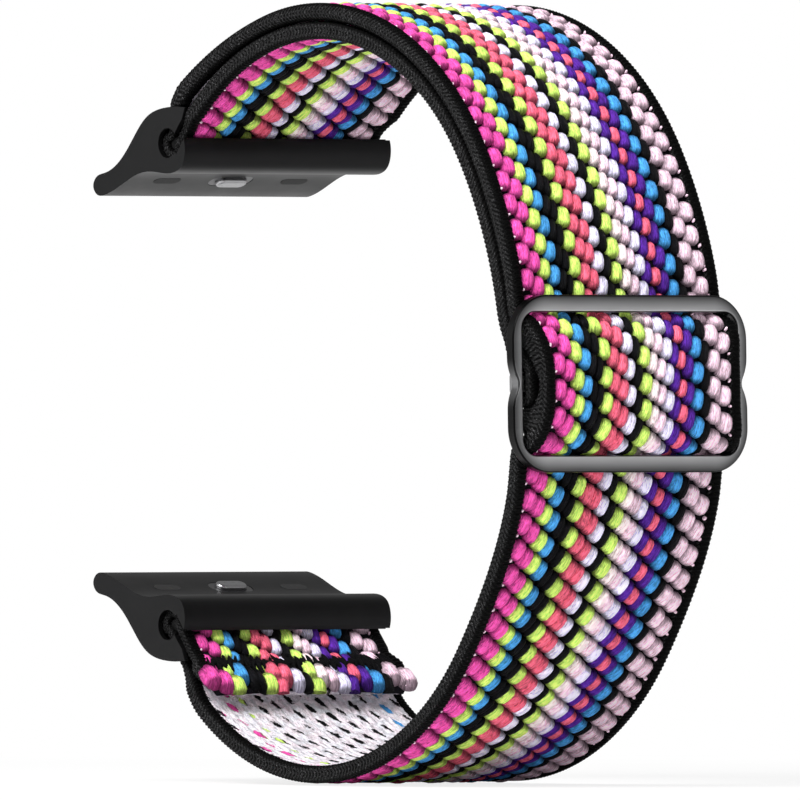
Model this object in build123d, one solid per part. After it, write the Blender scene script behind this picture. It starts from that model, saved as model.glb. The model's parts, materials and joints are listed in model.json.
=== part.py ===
"""Braided elastic watch strap: an adjustable loop of webbing on two slide-in adapters.

All lengths are in millimetres. +X runs from the watch's place into the loop, +Y runs across the
strap and +Z runs up to the upper adapter. The origin lies midway between the tips of the two
adapters. The strap is one length of webbing: its end is sewn round the centre bar of a slider
buckle, it runs up inside the loop, round the rod in the upper adapter, back down through the
slider, round the loop and through the lower adapter, where its other end is folded in and sewn.
"""
from build123d import *
from math import atan2, cos, degrees, hypot, radians, sin, sqrt
import os

# Webbing
strap_width = 26.0
strap_thickness = 1.5
layer_gap = 0.35
pressed_thickness = 1.15
pressed_gap = 0.3
tail_length = 5.2
tip_round_share = 0.4

# The loop's outer face: a long arc at the front, and a tighter arc up to each adapter
loop_radius = 45.0
loop_centre_x = 24.0
loop_centre_drop = 1.1
bend_angle = 33.0

# Rods that trap the folded webbing in the adapters
rod_diameter = 1.2
rod_inset = 2.84
rod_depth = 3.63
rod_clearance = 0.06
rod_end_clearance = 0.3
fold_reach = 4.7
fold_side_clearance = 0.15

# Adapters: the side outline is given as shares of the adapter's reach and rise
adapter_reach = 15.0
adapter_rise = 8.8
adapter_base_z = 18.8
end_wall = 0.5
channel_clearance = 0.15
mouth_angle = 11.5
mouth_clearance = 0.1
recess_radius = 1.5
outer_side_shares = [(0.9, 1.0), (0.78, 0.989), (0.593, 0.898), (0.447, 0.67), (0.3, 0.409), (0.127, 0.261)]
nose_shares = [(0.03, 0.21), (0.0, 0.11), (0.045, 0.012)]
inner_side_shares = [(0.127, 0.011), (0.327, 0.136), (0.547, 0.262), (0.7, 0.26), (0.86, 0.25)]
inner_end_shares = [(0.965, 0.33), (1.0, 0.477), (0.993, 0.61)]
lip_shares = [(0.957, 0.818), (1.0, 0.989)]

# Spring latch in each adapter, pressed along the normal of the nose's inner face
latch_x = 5.6
latch_rise = 1.55
latch_tilt = 24.5
latch_length = 3.6
latch_width = 1.5
latch_proud = 0.5
latch_round_share = 0.6
latch_travel = 0.45
flange_margin = 0.35
flange_thickness = 0.35
keeper_margin = 0.8
keeper_thickness = 0.4
latch_clearance = 0.05
leaf_thickness = 0.12
leaf_width = 1.1
leaf_length = 3.4
leaf_seat_gap = 0.05

# Grip pads beside each latch
pad_length = 3.2
pad_width = 1.3
pad_depth = 0.45
pad_proud = 0.08
pad_spacing = 16.0
pad_clearance = 0.02

# Slider buckle
slider_angle = 1.4
slider_length = 17.4
slider_side = 1.2
slider_thickness = 1.2
slider_bar = 1.7
lobe_round_share = 0.2514
waist_wall = 0.55
waist_radius = 1.2
window_radius = 1.6
window_side_clearance = 0.45
slider_edge_radius = 0.22
under_bar_clearance = 0.3
centre_bar_width = 2.2
centre_bar_thickness = 1.0
centre_bar_drop = 0.6
centre_bar_seat = 0.4

# Webbing at the slider
span_half_angle = 26.0
crown_clearance = 0.15
wrap_inset = 0.15
wrap_tail_inset = 2.95
wrap_joint_gap = 0.3
wrap_bend_radius = 1.5
span_bend_radius = 3.4
span_dip_radius = 1.6
dip_half_angle = 13.5
knee_share = 0.45
shoulder_share = 0.5
turn_fit_share = 0.98
tail_slope_share = 0.25

# Seams
thread_diameter = 0.36
stitch_length = 0.95
stitch_pitch = 1.35
seam_margin = 1.8
bottom_seam_inset = 3.9
slider_seam_place = 3.4

layer_pitch = strap_thickness + layer_gap
fold_middle = strap_thickness + layer_gap / 2
loop_centre = (loop_centre_x, -loop_centre_drop)
rod_radius = rod_diameter / 2
rod_x = adapter_reach - rod_inset
rod_z = adapter_base_z + adapter_rise - rod_depth


def prism(face, width, middle=0):
    """Carry a face drawn in X and Z across the strap, with its middle at the given Y."""
    return extrude(Plane.XZ.offset(-middle) * face, amount=width / 2, both=True)


def polar(centre, radius, angle):
    """The point at an angle in degrees and a radius about a centre."""
    return (centre[0] + radius * cos(radians(angle)), centre[1] + radius * sin(radians(angle)))


def band(centre, inner, outer, start, finish):
    """A strip between two arcs about one centre."""
    turn = finish - start
    far = CenterArc(centre, outer, start, turn)
    near = CenterArc(centre, inner, start, turn)
    return make_face([far, Line(far @ 1, near @ 1), near, Line(near @ 0, far @ 0)])


def disc(centre, radius):
    """A full circle about a point."""
    return Pos(*centre) * Circle(radius)


class LoopEnd:
    """The tight arc between the front arc and one adapter; side is 1 at the top and -1 below."""

    def __init__(self, side):
        self.side = side
        self.rod = (rod_x, side * rod_z)
        across = (self.rod[0] - loop_centre[0], self.rod[1] - loop_centre[1])
        middle = loop_radius - fold_middle
        along = across[0] * cos(radians(bend_angle)) + side * across[1] * sin(radians(bend_angle))
        shift = (middle ** 2 - across[0] ** 2 - across[1] ** 2) / (2 * (middle - along))
        self.centre = polar(loop_centre, shift, side * bend_angle)
        self.radius = loop_radius - shift
        self.middle = self.radius - fold_middle
        rise = self.rod[1] - self.centre[1]
        self.rod_angle = degrees(atan2(rise, self.rod[0] - self.centre[0]))
        self.fold_angle = self.rod_angle - side * degrees(fold_reach / self.middle)

    def layer(self, depth, thickness, start, finish):
        """A strip of this arc, its outer face a depth below the loop's outer face."""
        outer = self.radius - depth
        return band(self.centre, outer - thickness, outer, start, finish)


upper = LoopEnd(1)
lower = LoopEnd(-1)


def front_layer(depth, start, finish):
    """A strip of the front arc, its outer face a depth below the loop's outer face."""
    outer = loop_radius - depth
    return band(loop_centre, outer - strap_thickness, outer, start, finish)


def webbing_outer_run():
    front = front_layer(0, slider_angle + span_half_angle, bend_angle)
    return prism(front + upper.layer(0, strap_thickness, bend_angle, upper.fold_angle), strap_width)


def webbing_return_run():
    front = front_layer(layer_pitch, slider_angle + span_half_angle, bend_angle)
    back = upper.layer(layer_pitch, strap_thickness, bend_angle, upper.fold_angle)
    return prism(front + back, strap_width)


def webbing_main_run():
    front = front_layer(0, -bend_angle, slider_angle - span_half_angle)
    return prism(front + lower.layer(0, strap_thickness, lower.fold_angle, -bend_angle), strap_width)


def webbing_bottom_tail():
    """The sewn end, folded inside the loop beside the main run."""
    turn = degrees(tail_length / (lower.middle - fold_middle))
    finish = lower.fold_angle + turn
    body = prism(lower.layer(layer_pitch, strap_thickness, lower.fold_angle, finish), strap_width)
    tip = body.edges().filter_by(Axis.Y).sort_by(Axis.X)[-2:]
    return fillet(tip, strap_thickness * tip_round_share)


def fold_profile(end):
    """Webbing pressed round the rod, and its two layers as far as the adapter's edge."""
    half = pressed_thickness + pressed_gap / 2
    bulb = disc(end.rod, rod_radius + rod_clearance + pressed_thickness)
    neck = band(end.centre, end.middle - half, end.middle + half, end.rod_angle, end.fold_angle)
    slit = band(end.centre, end.middle - pressed_gap / 2, end.middle + pressed_gap / 2,
                end.rod_angle, end.fold_angle - end.side)
    return bulb + neck - slit - disc(end.rod, rod_radius + rod_clearance)


def webbing_fold(end):
    return prism(fold_profile(end), strap_width - 2 * (end_wall + fold_side_clearance))


def rod(end):
    length = strap_width - 2 * (end_wall + fold_side_clearance + rod_end_clearance)
    body = prism(disc(end.rod, rod_radius), length)
    return chamfer(body.edges().filter_by(GeomType.CIRCLE), rod_clearance)


def outline_point(share):
    return (share[0] * adapter_reach, adapter_base_z + share[1] * adapter_rise)


def adapter_outline(closing_shares):
    """The adapter's side outline: one curve round the nose, closed by the given corners."""
    shares = outer_side_shares + nose_shares + inner_side_shares + inner_end_shares
    curve = Spline(*[outline_point(share) for share in shares])
    corners = [curve @ 1] + [outline_point(share) for share in closing_shares] + [curve @ 0]
    return make_face([curve, Polyline(*corners)])


def mouth(end):
    """The wedge that lets the two layers out of the channel at each limit of the pivot."""
    half = pressed_thickness + pressed_gap / 2
    along = (sin(radians(end.rod_angle)), -cos(radians(end.rod_angle)))
    out = (cos(radians(end.rod_angle)), sin(radians(end.rod_angle)))
    corners = []
    for distance, sign in [(0, 1), (2 * fold_reach, 1), (2 * fold_reach, -1), (0, -1)]:
        spread = half + mouth_clearance + distance * sin(radians(mouth_angle))
        corners.append((end.rod[0] + distance * along[0] + sign * spread * out[0],
                        end.rod[1] + distance * along[1] + sign * spread * out[1]))
    return make_face(Polyline(*corners, close=True))


def channel_profile():
    bulb_radius = rod_radius + rod_clearance + pressed_thickness
    return disc(upper.rod, bulb_radius + channel_clearance) + mouth(upper)


def recess_profile():
    """The opening in the end walls that shows the fold and the inner layer's edge."""
    inner = upper.middle - fold_middle - channel_clearance
    slot = band(upper.centre, inner, upper.middle - pressed_gap, upper.rod_angle,
                upper.fold_angle - degrees(fold_reach / upper.middle))
    return disc(upper.rod, recess_radius) + slot


def latch_plane(y=0):
    """The latch's plane: its normal points out of the nose's inner face."""
    normal = (sin(radians(latch_tilt)), 0, -cos(radians(latch_tilt)))
    place = (latch_x, y, adapter_base_z + latch_rise)
    return Plane(origin=place, x_dir=(0, 1, 0), z_dir=normal)


def pill(length, width, low, high, y=0):
    """A round-ended block across the strap, between two heights on the latch's axis."""
    shape = extrude(SlotOverall(length, width), amount=high - low)
    return latch_plane(y) * Pos(0, 0, low) * shape


keeper_length = latch_length + 2 * keeper_margin
keeper_width = latch_width + 2 * flange_margin + 2 * latch_clearance
leaf_rise = latch_travel + leaf_seat_gap
pocket_depth = keeper_thickness + flange_thickness + leaf_rise + 2 * leaf_thickness


def upper_adapter_body():
    middle = adapter_outline([]) - channel_profile()
    wall = adapter_outline(lip_shares) - recess_profile()
    wall_middle = (strap_width - end_wall) / 2
    body = prism(middle, strap_width - 2 * end_wall)
    body += prism(wall, end_wall, wall_middle) + prism(wall, end_wall, -wall_middle)
    body -= pill(keeper_length, keeper_width, -pocket_depth, adapter_rise)
    for y in (-pad_spacing / 2, pad_spacing / 2):
        body -= pill(pad_length, pad_width, -pad_depth, adapter_rise, y)
    return body


def upper_latch_keeper():
    fit = 2 * pad_clearance
    plate = pill(keeper_length - fit, keeper_width - fit, -keeper_thickness, 0)
    window = 2 * latch_clearance
    return plate - pill(latch_length + window, latch_width + window, -pocket_depth, pocket_depth)


def upper_latch():
    underside = -keeper_thickness - pad_clearance
    margin = 2 * flange_margin - 2 * latch_clearance
    flange = pill(latch_length + margin, latch_width + margin, underside - flange_thickness, underside)
    button = pill(latch_length, latch_width, underside, latch_proud)
    rim = button.faces().sort_by(latch_axis())[-1].edges()
    return flange + fillet(rim, latch_proud * latch_round_share)


def latch_axis():
    return Axis(latch_plane().origin, latch_plane().z_dir)


def upper_latch_spring():
    """A bowed leaf between the pocket's floor and the latch."""
    floor = -pocket_depth + leaf_seat_gap
    ceiling = -keeper_thickness - pad_clearance - flange_thickness - leaf_seat_gap - leaf_thickness
    bow = ThreePointArc((-leaf_length / 2, floor), (0, ceiling), (leaf_length / 2, floor))
    strip = make_face([bow, Line(bow @ 1, bow @ 1 + Vector(0, leaf_thickness)),
                       Pos(0, leaf_thickness) * bow, Line(bow @ 0 + Vector(0, leaf_thickness), bow @ 0)])
    upright = Plane(origin=(0, 0, 0), x_dir=(1, 0, 0), z_dir=(0, -1, 0))
    return latch_plane() * extrude(upright * strip, amount=leaf_width / 2, both=True)


def upper_adapter_pads():
    fit = 2 * pad_clearance
    pads = [pill(pad_length - fit, pad_width - fit, -pad_depth + pad_clearance, pad_proud, y)
            for y in (-pad_spacing / 2, pad_spacing / 2)]
    return Compound(children=pads)


def below(shape):
    """The same piece for the lower adapter, which is the upper one turned over."""
    return mirror(shape, about=Plane.XY)


# The slider's own directions: along the strap and out from the loop's centre
bar_place = slider_length / 2 - slider_bar
slider_face = sqrt(loop_radius ** 2 - bar_place ** 2) + under_bar_clearance
centre_bar_height = slider_face + slider_thickness / 2 - centre_bar_drop
wrap_radius = centre_bar_thickness / 2 + rod_clearance + pressed_thickness / 2
wrap_reach = bar_place - wrap_inset
wrap_tail_reach = bar_place - wrap_tail_inset


def slider_point(along, out):
    """A point in X and Z from its place along the strap and its distance from the loop's centre."""
    turn = radians(slider_angle)
    return (loop_centre[0] + out * cos(turn) - along * sin(turn),
            loop_centre[1] + out * sin(turn) + along * cos(turn))


def slider_plane():
    """Local X runs across the strap, local Y along it and local Z out of the loop."""
    turn = radians(slider_angle)
    return Plane(origin=(loop_centre[0], 0, loop_centre[1]), x_dir=(0, 1, 0),
                 z_dir=(cos(turn), 0, sin(turn)))


def slider_buckle():
    lobe_radius = slider_length * lobe_round_share
    reach = lobe_radius + waist_radius
    across = reach + waist_wall - slider_side
    lobe_overlap = 2 * (lobe_radius - sqrt(reach ** 2 - across ** 2))
    lobe_length = (slider_length + lobe_overlap) / 2
    lobe_place = (slider_length - lobe_length) / 2
    window_width = strap_width + 2 * window_side_clearance
    slider_width = window_width + 2 * slider_side
    plate = Sketch()
    for side in (-1, 1):
        plate += Pos(0, side * lobe_place) * RectangleRounded(slider_width, lobe_length, lobe_radius)
    waist = plate.vertices().sort_by(lambda corner: abs(corner.Y))[:2]
    plate = fillet(waist, waist_radius)
    open_length = slider_length - 2 * slider_bar
    plate -= RectangleRounded(window_width, open_length, window_radius)
    frame = extrude(plate, amount=slider_thickness)
    frame = fillet(frame.faces().filter_by(Axis.Z).edges(), slider_edge_radius)
    frame = Pos(0, 0, slider_face) * frame
    bar_section = Plane.YZ * Pos(0, centre_bar_height) * SlotOverall(centre_bar_width, centre_bar_thickness)
    bar = extrude(bar_section, amount=window_width / 2 + centre_bar_seat, both=True)
    return slider_plane() * (frame + bar)


def strip(points, radii, thickness):
    """A strip of webbing along a path with rounded bends."""
    return trace(FilletPolyline(*points, radius=radii), thickness)


def webbing_end_wrap():
    """The sewn end round the centre bar: inner leg, turn, and tail under the outer layer."""
    inner = centre_bar_height - wrap_radius
    outer = centre_bar_height + wrap_radius
    turn_end = -(centre_bar_width - centre_bar_thickness) / 2 - wrap_radius
    start_out = sqrt((loop_radius - layer_pitch - strap_thickness / 2) ** 2 - wrap_reach ** 2)
    tail_out = inner + pressed_thickness - (wrap_tail_reach - centre_bar_width) * tail_slope_share
    places = [(wrap_reach, start_out), (centre_bar_width / 2, inner), (turn_end, inner),
              (turn_end, outer), (centre_bar_width / 2, outer), (wrap_tail_reach, tail_out)]
    bend = wrap_radius * turn_fit_share
    radii = [wrap_bend_radius, bend, bend, wrap_bend_radius / 2]
    path = [slider_point(*place) for place in places]
    return prism(strip(path, radii, pressed_thickness), strap_width)


def webbing_slider_span():
    """The outer layer through the slider: under the end bars and over the centre bar."""
    middle = loop_radius - strap_thickness / 2
    crown = centre_bar_height + wrap_radius + pressed_thickness / 2 + crown_clearance + strap_thickness / 2
    dip = sqrt(middle ** 2 - bar_place ** 2)
    rise = crown - dip
    knee = bar_place - strap_thickness * knee_share
    shoulder = knee - rise * shoulder_share
    far = middle * sin(radians(dip_half_angle))
    far_out = middle * cos(radians(dip_half_angle))
    places = [(far, far_out), (knee, dip), (shoulder, crown),
              (-shoulder, crown), (-knee, dip), (-far, far_out)]
    path = [slider_point(*place) for place in places]
    radii = [span_dip_radius, span_bend_radius, span_bend_radius, span_dip_radius]
    face = strip(path, radii, strap_thickness)
    for side in (-1, 1):
        ends = sorted((slider_angle + side * dip_half_angle, slider_angle + side * span_half_angle))
        face += front_layer(0, *ends)
    return prism(face, strap_width)


def webbing_return_span():
    """The inner layer between the end wrap and the return run."""
    middle = loop_radius - layer_pitch - strap_thickness / 2
    start = slider_angle + degrees((wrap_reach + wrap_joint_gap) / middle)
    return prism(front_layer(layer_pitch, start, slider_angle + span_half_angle), strap_width)


def stitch_row(profile):
    """A row of short threads across the strap, each with the given side profile."""
    count = int((strap_width - 2 * seam_margin) // stitch_pitch) + 1
    first = -(count - 1) * stitch_pitch / 2
    return Compound(children=[prism(profile, stitch_length, first + index * stitch_pitch)
                              for index in range(count)])


def bottom_seam():
    """Threads on the inner face of the folded end."""
    depth = layer_pitch + strap_thickness
    face = lower.radius - depth
    place = lower.fold_angle + degrees((tail_length - bottom_seam_inset) / (lower.middle - fold_middle))
    thread = disc(polar(lower.centre, face, place), thread_diameter / 2)
    return stitch_row(thread - lower.layer(layer_pitch, strap_thickness, lower.fold_angle, -bend_angle))


def slider_seam():
    """Threads on the inner face of the end wrap, just above the centre bar."""
    inner = centre_bar_height - wrap_radius
    start_out = sqrt((loop_radius - layer_pitch - strap_thickness / 2) ** 2 - wrap_reach ** 2)
    slope = (start_out - inner) / (wrap_reach - centre_bar_width / 2)
    out = inner + slope * (slider_seam_place - centre_bar_width / 2)
    normal = hypot(slope, 1)
    place = slider_point(slider_seam_place + slope * pressed_thickness / 2 / normal,
                         out - pressed_thickness / 2 / normal)
    leg = [slider_point(wrap_reach, start_out), slider_point(centre_bar_width / 2, inner)]
    return stitch_row(disc(place, thread_diameter / 2) - trace(Line(*leg), pressed_thickness))


pieces = {
    "webbing_main_run": webbing_main_run(),
    "webbing_slider_span": webbing_slider_span(),
    "webbing_outer_run": webbing_outer_run(),
    "webbing_top_fold": webbing_fold(upper),
    "webbing_return_run": webbing_return_run(),
    "webbing_return_span": webbing_return_span(),
    "webbing_end_wrap": webbing_end_wrap(),
    "webbing_bottom_fold": webbing_fold(lower),
    "webbing_bottom_tail": webbing_bottom_tail(),
    "bottom_seam": bottom_seam(),
    "slider_seam": slider_seam(),
    "top_rod": rod(upper),
    "bottom_rod": rod(lower),
    "slider_buckle": slider_buckle(),
}
for name, make in [("adapter_body", upper_adapter_body), ("latch_keeper", upper_latch_keeper),
                   ("latch", upper_latch), ("latch_spring", upper_latch_spring),
                   ("adapter_pads", upper_adapter_pads)]:
    pieces["top_" + name] = make()
    pieces["bottom_" + name] = below(pieces["top_" + name])

os.makedirs("parts", exist_ok=True)
for name, shape in pieces.items():
    export_step(shape, "parts/" + name + ".step")
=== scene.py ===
"""Looks of a braided elastic watch strap, dressed around its CAD parts.

The webbing is one long braid. Its middle line runs from the sewn tail, round the lower rod, round the
loop, over the slider's centre bar, round the upper rod and back down to the slider, where its other end
is wrapped round the centre bar. All yarns, edges and stitches are placed along that line, in
millimetres, and the meshes' points are in metres.
"""
import json
import math
from types import SimpleNamespace

import bmesh
import bpy
import numpy as np
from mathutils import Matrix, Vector


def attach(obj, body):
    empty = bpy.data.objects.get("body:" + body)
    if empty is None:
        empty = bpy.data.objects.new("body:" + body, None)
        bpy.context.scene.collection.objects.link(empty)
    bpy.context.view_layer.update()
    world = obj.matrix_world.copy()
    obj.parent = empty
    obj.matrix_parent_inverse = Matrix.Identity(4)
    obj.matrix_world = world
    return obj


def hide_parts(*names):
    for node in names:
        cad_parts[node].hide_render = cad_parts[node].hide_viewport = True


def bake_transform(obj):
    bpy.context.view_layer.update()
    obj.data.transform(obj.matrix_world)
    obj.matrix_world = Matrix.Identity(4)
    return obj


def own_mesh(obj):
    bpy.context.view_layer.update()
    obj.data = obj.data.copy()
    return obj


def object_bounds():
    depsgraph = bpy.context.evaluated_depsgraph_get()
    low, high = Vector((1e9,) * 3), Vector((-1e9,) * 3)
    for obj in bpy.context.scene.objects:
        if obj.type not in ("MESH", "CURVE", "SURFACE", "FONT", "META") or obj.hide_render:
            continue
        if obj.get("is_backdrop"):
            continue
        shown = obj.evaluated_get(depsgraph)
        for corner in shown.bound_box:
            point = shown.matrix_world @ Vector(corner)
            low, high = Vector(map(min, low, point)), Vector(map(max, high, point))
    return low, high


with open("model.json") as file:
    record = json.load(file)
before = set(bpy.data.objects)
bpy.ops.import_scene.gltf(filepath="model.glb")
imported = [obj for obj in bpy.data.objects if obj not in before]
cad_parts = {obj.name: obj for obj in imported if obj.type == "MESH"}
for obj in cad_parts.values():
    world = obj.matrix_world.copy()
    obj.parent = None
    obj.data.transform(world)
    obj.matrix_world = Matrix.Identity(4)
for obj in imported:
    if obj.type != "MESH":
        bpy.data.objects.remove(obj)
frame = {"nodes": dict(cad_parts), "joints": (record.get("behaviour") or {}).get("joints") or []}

bl_info = {
    "name": "Braided watch strap",
    "version": (1, 0, 0),
    "blender": (4, 5, 0),
    "location": "View3D > Sidebar > Strap",
    "description": "Dresses the CAD parts of a braided watch strap in yarn, metal and rubber",
    "category": "Object",
}

MM = 0.001

# The webbing's finishes, in the order of its material slots
YARN, CORE, KNIT, EDGE = range(4)

# How far a rib of the black edge runs along it for each length round it
RIB_SLANT = 0.9


# Shader expressions

class Wire:
    """An output of a material's nodes. Sums written with it add Math nodes."""

    def __init__(self, finish, socket):
        self.finish = finish
        self.socket = socket

    def calc(self, operation, *others):
        """An operation on this number, with others after it."""
        return self.finish.calc(operation, self, *others)

    def __add__(self, other):
        return self.calc("ADD", other)

    def __radd__(self, other):
        return self.finish.calc("ADD", other, self)

    def __sub__(self, other):
        return self.calc("SUBTRACT", other)

    def __rsub__(self, other):
        return self.finish.calc("SUBTRACT", other, self)

    def __mul__(self, other):
        return self.calc("MULTIPLY", other)

    def __rmul__(self, other):
        return self.finish.calc("MULTIPLY", other, self)

    def __truediv__(self, other):
        return self.calc("DIVIDE", other)

    def __abs__(self):
        return self.calc("ABSOLUTE")

    def floor(self):
        return self.calc("FLOOR")

    def wave(self, period):
        """A sine between 0 and 1 with the given period."""
        return (self * (2 * math.pi / period)).calc("SINE") * 0.5 + 0.5

    def ramp(self, low, high):
        """0 below low, 1 above high, and a smooth step between."""
        return self.finish.add("ShaderNodeMapRange", {"interpolation_type": "SMOOTHSTEP"},
                               {"Value": self, "From Min": low, "From Max": high})


class Finish:
    """A material built from nodes: one Principled shader, and what varies over the surface."""

    def __init__(self, name, **constants):
        self.material = bpy.data.materials.new(name)
        self.material.use_nodes = True
        self.tree = self.material.node_tree
        self.shader = self.tree.nodes["Principled BSDF"]
        for socket, value in constants.items():
            self.shader.inputs[socket.replace("_", " ")].default_value = value

    def add(self, kind, settings, inputs, output=0):
        """Add a node: its settings first, then the values or links of its sockets."""
        node = self.tree.nodes.new(kind)
        for name, value in settings.items():
            setattr(node, name, value)
        for name, value in inputs.items():
            if isinstance(value, Wire):
                self.tree.links.new(value.socket, node.inputs[name])
            else:
                node.inputs[name].default_value = value
        return Wire(self, node.outputs[output])

    def calc(self, operation, *values):
        """A Math node."""
        return self.add("ShaderNodeMath", {"operation": operation}, dict(enumerate(values)))

    def split(self, vector):
        """The three numbers of a vector."""
        node = self.add("ShaderNodeSeparateXYZ", {}, {"Vector": vector}).socket.node
        return [Wire(self, socket) for socket in node.outputs]

    def join(self, x, y, z):
        return self.add("ShaderNodeCombineXYZ", {}, {"X": x, "Y": y, "Z": z})

    def uv(self):
        """The surface's own two coordinates, in millimetres."""
        return self.split(self.add("ShaderNodeUVMap", {"uv_map": "weave"}, {}))

    def place(self):
        """Object coordinates, in metres."""
        return self.add("ShaderNodeTexCoord", {}, {}, "Object")

    def noise(self, place, scale, detail=2.0, roughness=0.5):
        """Soft noise at a place, which is a vector or its three numbers."""
        vector = self.join(*place) if isinstance(place, tuple) else place
        return self.add("ShaderNodeTexNoise", {}, {"Vector": vector, "Scale": scale, "Detail": detail,
                                                   "Roughness": roughness})

    def chance(self, x, y):
        """A random number from 0 to 1 for each pair of whole numbers."""
        return self.add("ShaderNodeTexWhiteNoise", {"noise_dimensions": "3D"}, {"Vector": self.join(x, y, 0)})

    def mix(self, factor, first, second):
        """A colour between two colours."""
        return self.add("ShaderNodeMix", {"data_type": "RGBA"}, {0: factor, 6: first, 7: second}, 2)

    def tint(self, colour, amount):
        """A colour made lighter or darker by a number."""
        return self.add("ShaderNodeVectorMath", {"operation": "SCALE"}, {0: colour, "Scale": amount})

    def complete(self, colour, height, distance, strength=1.0, roughness=None):
        """The material, with what varies over it; the relief's distance is in metres."""
        relief = self.add("ShaderNodeBump", {}, {"Height": height, "Distance": distance,
                                                 "Strength": strength})
        for name, wire in (("Base Color", colour), ("Roughness", roughness), ("Normal", relief)):
            if wire:
                self.tree.links.new(wire.socket, self.shader.inputs[name])
        return self.material


def rgba(colour, share=1.0):
    """A colour, or a share of it, with an alpha of 1."""
    return tuple(part * share for part in colour) + (1.0,)


# Materials

def yarn_finish():
    """Filaments that run along each lobe, its colour from the mesh, with painted shade down its sides and
    ends and a painted highlight along its middle.
    """
    side_shadow, end_shadow, brightness = 0.45, 0.68, 1.22
    highlight_share, highlight_gain = 0.6, 2.4
    finish = Finish("braid yarn", Specular_IOR_Level=0.06)
    across, along, _ = finish.uv()
    colour = finish.add("ShaderNodeAttribute", {"attribute_name": "yarn"}, {})
    seed = finish.add("ShaderNodeAttribute", {"attribute_name": "yarn"}, {}, "Alpha")
    bend = finish.noise((across * 0.9, along * 0.7, seed * 40), 1.0)
    streak = finish.noise((across * 5, along * 0.8, seed * 90), 1.0, 4.0, 0.7).ramp(0.3, 0.7)
    filament = (across + bend * 0.9 + along * 0.05).wave(0.17)
    fine = finish.noise((across * 14, along * 2.5, seed * 70), 1.0, 2.0).ramp(0.3, 0.7)
    sides = abs(across).ramp(0.25, 0.85)
    ends = abs(along).ramp(0.45, 1.0)
    shade = (streak * 0.65 + 0.68) * (filament * 0.22 + 0.89) * (fine * 0.5 + 0.75)
    # Painted shade: each lobe is darker down its sides and towards its ends.
    shade = shade * (1.0 - sides * side_shadow) * (1.0 - ends * end_shadow) * brightness
    # Painted highlight: the middle of each lobe is mixed towards a lighter tint of its colour.
    painted_highlight = streak * fine * (1.0 - sides) * (1.0 - ends) * highlight_share
    colour = finish.mix(painted_highlight, finish.tint(colour, shade), finish.tint(colour, highlight_gain))
    relief = filament * 0.3 + streak * 0.6 + fine * 0.5
    return finish.complete(colour, relief, 0.14 * MM, roughness=0.6 - streak * 0.3)


def core_shade_finish():
    """Painted shade for the body seen in the gaps between the lobes: near-black, with a faint fuzz."""
    finish = Finish("braid core", Roughness=0.95, Specular_IOR_Level=0.05)
    across, along, _ = finish.uv()
    fuzz = finish.noise((across, along, 0), 6.0, 3.0)
    # Near-black painted shade for the gaps between the lobes.
    colour = finish.mix(fuzz, (0.002, 0.002, 0.003, 1), (0.012, 0.01, 0.014, 1))
    return finish.complete(colour, fuzz, 0.05 * MM)


def selvedge_finish(look):
    """Black twill edge: the ribs are in the mesh, and their fine threads are here. Its rib crests carry a
    painted highlight, and its rims that face the next layer carry a painted shade.
    """
    finish = Finish("selvedge", Specular_IOR_Level=0.05)
    along, girth, _ = finish.uv()
    wander = finish.noise((along, girth, 0), 2.0)
    thread = (girth * 1.1 - along * 0.6 + wander * 0.25).wave(0.17)
    rib = (along + abs(girth) * RIB_SLANT + wander * 0.1).wave(look.rib_pitch)
    fuzz = finish.noise((along * 3, girth * 3, 3), 2.0, 4.0, 0.7)
    # Painted shade on the rims that face the next layer.
    crevice_shade = girth.ramp(0.5, 0.8) * (1.0 - girth.ramp(0.9, 1.2))
    # Painted highlight: the tone is lighter on the rib crests.
    tone = rib * 0.6 + thread * 0.3 + fuzz.ramp(0.35, 0.75) * 0.6 - 0.42 - crevice_shade * 0.8
    speck = finish.noise((along * 5, girth * 5, 7), 1.6, 2.0).ramp(0.6, 0.72)
    dark = finish.mix(tone, (0.001, 0.001, 0.001, 1), (0.036, 0.036, 0.037, 1))
    colour = finish.mix(speck * (1.0 - crevice_shade), dark, (0.11, 0.11, 0.112, 1))
    relief = thread * 0.6 + fuzz * 0.7 + rib * 0.5
    return finish.complete(colour, relief, 0.1 * MM, roughness=0.7 - rib * 0.25)


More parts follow.
